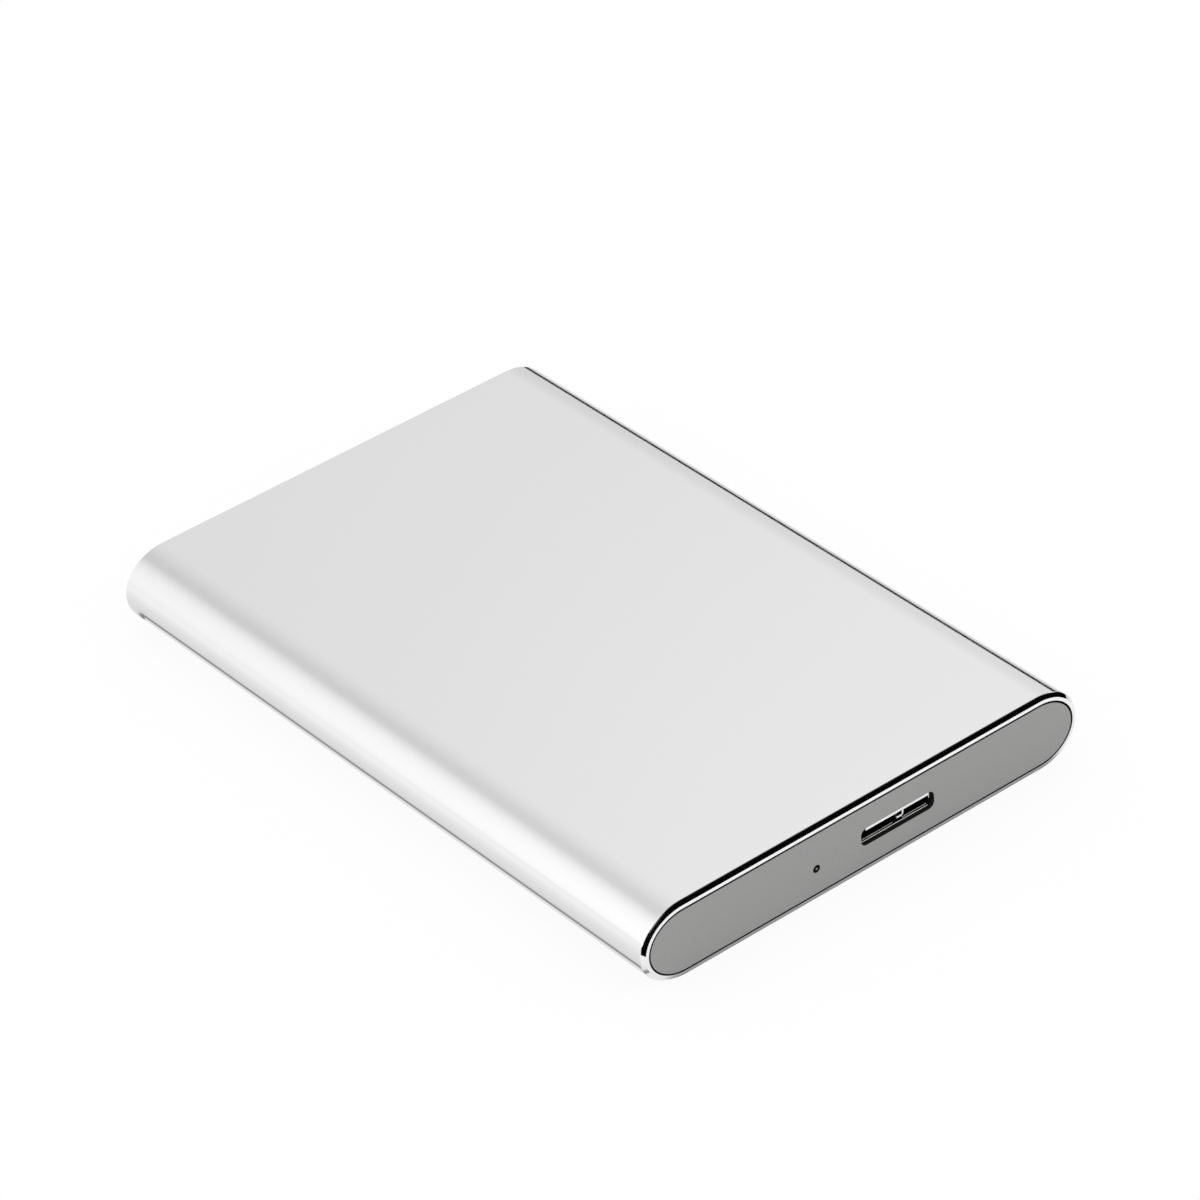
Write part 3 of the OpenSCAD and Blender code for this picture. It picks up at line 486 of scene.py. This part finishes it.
def toward(tree, direction):
    """Dot product of a place in the sky with a direction."""
    product = node(tree, "ShaderNodeVectorMath", {0: sky, 1: direction}, operation="DOT_PRODUCT")
    return product.outputs["Value"]


turn = node(tree, "ShaderNodeMath", {0: way["Z"], 1: way["X"]}, operation="ARCTAN2").outputs[0]
turn = node(tree, "ShaderNodeMath", {0: turn}, operation="DEGREES").outputs[0]
across = band(tree, turn, 0, 180, [
    (0, 0.75), (15, 0.75), (25, 0.765), (35, 0.80), (45, 0.84), (50, 0.862), (60, 0.84), (70, 0.81),
    (80, 0.77), (91, 0.71), (102, 0.72), (111, 0.85), (121, 0.97), (131, 1.04), (150, 1.085),
    (160, 1.09), (172, 1.075), (180, 1.05)])
along = band(tree, way["Y"], -1, 1, [
    (-1, 1), (-0.3, 1), (0, 1.2), (0.35, 1.2), (0.5, 1.1), (0.6, 1.08), (0.7, 0.95), (1, 0.9)])
patch = band(tree, toward(tree, patch_way), 0.5, 1, [
    (0.79, 1), (0.835, 0.6), (0.906, 0.3), (0.96, 0.18), (1, 0.12)])
hoop = band(tree, toward(tree, hoop_axis), -0.5, 0, [(-0.36, 1), (-0.33, 0), (-0.16, 0), (-0.13, 1)])
tone = times(tree, times(tree, times(tree, across, along), patch), hoop)
level = node(tree, "ShaderNodeMix", {0: path.outputs["Is Glossy Ray"], 6: (1, 1, 1, 1), 7: tone},
             data_type="RGBA")
back = node(tree, "ShaderNodeBackground", {"Color": level.outputs[2], "Strength": 1.0})
node(tree, "ShaderNodeOutputWorld", {"Surface": back.outputs[0]})

# Camera: a long lens, in the place from which the photo was taken. It was fitted to the
# outline of the drive in the photo.
camera_data = bpy.data.cameras.new("camera")
camera_data.lens = 171.089
camera_data.sensor_width = 36
camera = bpy.data.objects.new("camera", camera_data)
camera.location = (-0.379728, -0.510219, 0.461676)
camera.rotation_euler = Euler((math.radians(54.8222), math.radians(3.7577), math.radians(-39.4838)), "XYZ")
bpy.context.scene.collection.objects.link(camera)
bpy.context.scene.camera = camera
bpy.context.scene.view_settings.view_transform = "Standard"
